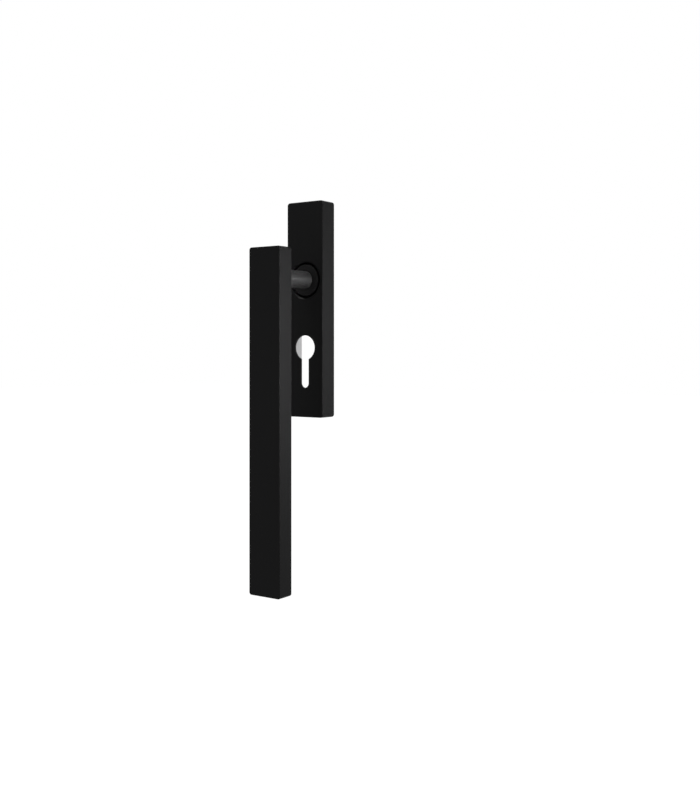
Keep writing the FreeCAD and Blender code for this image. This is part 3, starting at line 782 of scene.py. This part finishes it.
@dataclass
class GripParts(SubAssembly):
    """The bar with its end caps, and the block that is screwed into it."""

    coat: Finish = PowderCoat("black_coat")
    block: Finish = MilledAluminium("bare_aluminium")
    screw: Finish = OxideBlack("black_screw")

    def worn(self) -> Worn:
        """The bar's pieces.

        Returns:
            The pieces by their finish.
        """
        return {
            self.coat: ("grip", "grip_top_cap", "grip_bottom_cap"),
            self.block: ("grip_insert",),
            self.screw: ("insert_screws",),
        }


@dataclass
class Softbox:
    """A square lamp that looks at the handle."""

    name: str
    place: Triple
    side: float
    watts: float
    aim: Triple = (0.0, -0.04, -0.1)
    beam: float = math.pi

    def hang(self) -> None:
        """Hang the lamp, out of the camera's sight."""
        light = bpy.data.lights.new(self.name, "AREA")
        light.shape = "SQUARE"
        light.size = self.side
        light.energy = self.watts
        light.spread = self.beam
        lamp = bpy.data.objects.new(self.name, light)
        lamp.location = self.place
        lamp.rotation_euler = (Vector(self.aim) - Vector(self.place)).to_track_quat("-Z", "Y").to_euler()
        lamp.visible_camera = False
        bpy.context.scene.collection.objects.link(lamp)
        log.info("%s: %g W", self.name, self.watts)


@dataclass
class Studio:
    """Pale floor, soft light and a white background."""

    floor_below_spindle: float = 1.0
    floor_side: float = 40.0
    floor_tone: Triple = (0.86, 0.86, 0.86)
    floor_glow: float = 1.36
    floor_seen: float = 0.7
    backdrop: Triple = (1.0, 1.0, 1.0)
    white: float = 1.0
    fill: float = 0.32
    lamps: tuple[Softbox, ...] = (
        Softbox(
            "side_softbox", place=(1.05, -0.30, -0.20), side=0.35, watts=0.455,
            aim=(0.0, -0.05, -0.14), beam=math.radians(50.0),
        ),
        Softbox(
            "bar_softbox", place=(0.95, -0.12, -0.06), side=0.15, watts=0.40,
            aim=(0.0, -0.16, -0.06), beam=math.radians(24.0),
        ),
        Softbox("back_softbox", place=(0.80, 0.92, 0.02), side=0.5, watts=1.05),
        Softbox("low_softbox", place=(-0.90, -1.20, -0.75), side=0.5, watts=0.4, aim=(0.0, -0.08, -0.3)),
        Softbox("top_softbox", place=(-0.46, -0.15, 1.10), side=0.30, watts=8.0, aim=(0.0, -0.02, -0.02)),
    )

    @staticmethod
    def seen_itself(board: Board) -> Wire:
        """1 for rays that see the thing itself, and 0 for rays that carry its light.

        Args:
            board: the board that the nodes are added to.

        Returns:
            The mask.
        """
        path = board.node("ShaderNodeLightPath")
        straight, mirror, glass = (Wire(board, path.outputs[ray.value]) for ray in Ray)
        return (straight + mirror + glass).clamped()

    def lay_floor(self) -> None:
        """Lay the floor a metre below the spindle, as under a real door."""
        half = self.floor_side / 2
        corners = [(-half, -half), (half, -half), (half, half), (-half, half)]
        mesh = bpy.data.meshes.new("floor")
        mesh.from_pydata([(x, y, -self.floor_below_spindle) for x, y in corners], [], [(0, 1, 2, 3)])
        mesh.materials.append(self.floor_paint())
        floor = bpy.data.objects.new("floor", mesh)
        bpy.context.scene.collection.objects.link(floor)

    def floor_paint(self) -> bpy.types.Material:
        """Pale matt paint, which looks nearly white where it is seen itself.

        Returns:
            A material that holds the paint.
        """
        material = bpy.data.materials.new("pale_floor")
        material.use_nodes = True
        board = Board(material.node_tree)
        paint = board.shader("ShaderNodeBsdfDiffuse", {"Color": board.paint(self.floor_tone)})
        glow = board.shader("ShaderNodeEmission", {"Strength": self.floor_glow})
        mask = self.seen_itself(board) * self.floor_seen
        both = board.shader("ShaderNodeMixShader", {"Fac": mask, 1: paint, 2: glow})
        board.end("ShaderNodeOutputMaterial", both)
        return material

    def light_world(self) -> None:
        """Fill light from all round, and white where the world is seen itself."""
        world = bpy.data.worlds.new("studio")
        bpy.context.scene.world = world
        world.use_nodes = True
        board = Board(world.node_tree)
        strength = self.fill + self.seen_itself(board) * (self.white - self.fill)
        values = {"Color": board.paint(self.backdrop), "Strength": strength}
        board.end("ShaderNodeOutputWorld", board.shader("ShaderNodeBackground", values))

    def build(self) -> None:
        """Put up the whole studio."""
        self.lay_floor()
        self.light_world()
        for lamp in self.lamps:
            lamp.hang()


@dataclass
class Camera:
    """The photograph's camera, held level: its place, its turn from looking along Y, and its lens."""

    place: Triple = (0.6357, -0.8559, -0.0714)
    turn: float = math.radians(34.73)
    lens: float = 46.25
    sensor: float = 36.0
    shift: float = -0.0625

    def build(self) -> None:
        """Set the camera up and make it the scene's."""
        data = bpy.data.cameras.new("camera")
        data.lens = self.lens
        data.sensor_width = self.sensor
        data.shift_y = self.shift
        camera = bpy.data.objects.new("camera", data)
        camera.location = self.place
        camera.rotation_euler = (math.pi / 2, 0.0, self.turn)
        bpy.context.scene.collection.objects.link(camera)
        bpy.context.scene.camera = camera


def main() -> None:
    """Dress the handle, put up the studio and set the camera."""
    logging.basicConfig(level=logging.INFO, format="%(name)s: %(message)s")
    shop = FinishShop()
    for parts in (PlateParts(), BearingParts(), NeckParts(), GripParts()):
        parts.dress(shop)
    Studio().build()
    Camera().build()
    bpy.context.scene.view_settings.view_transform = "Standard"
    bpy.context.view_layer.update()


if __name__ == "__main__":
    main()
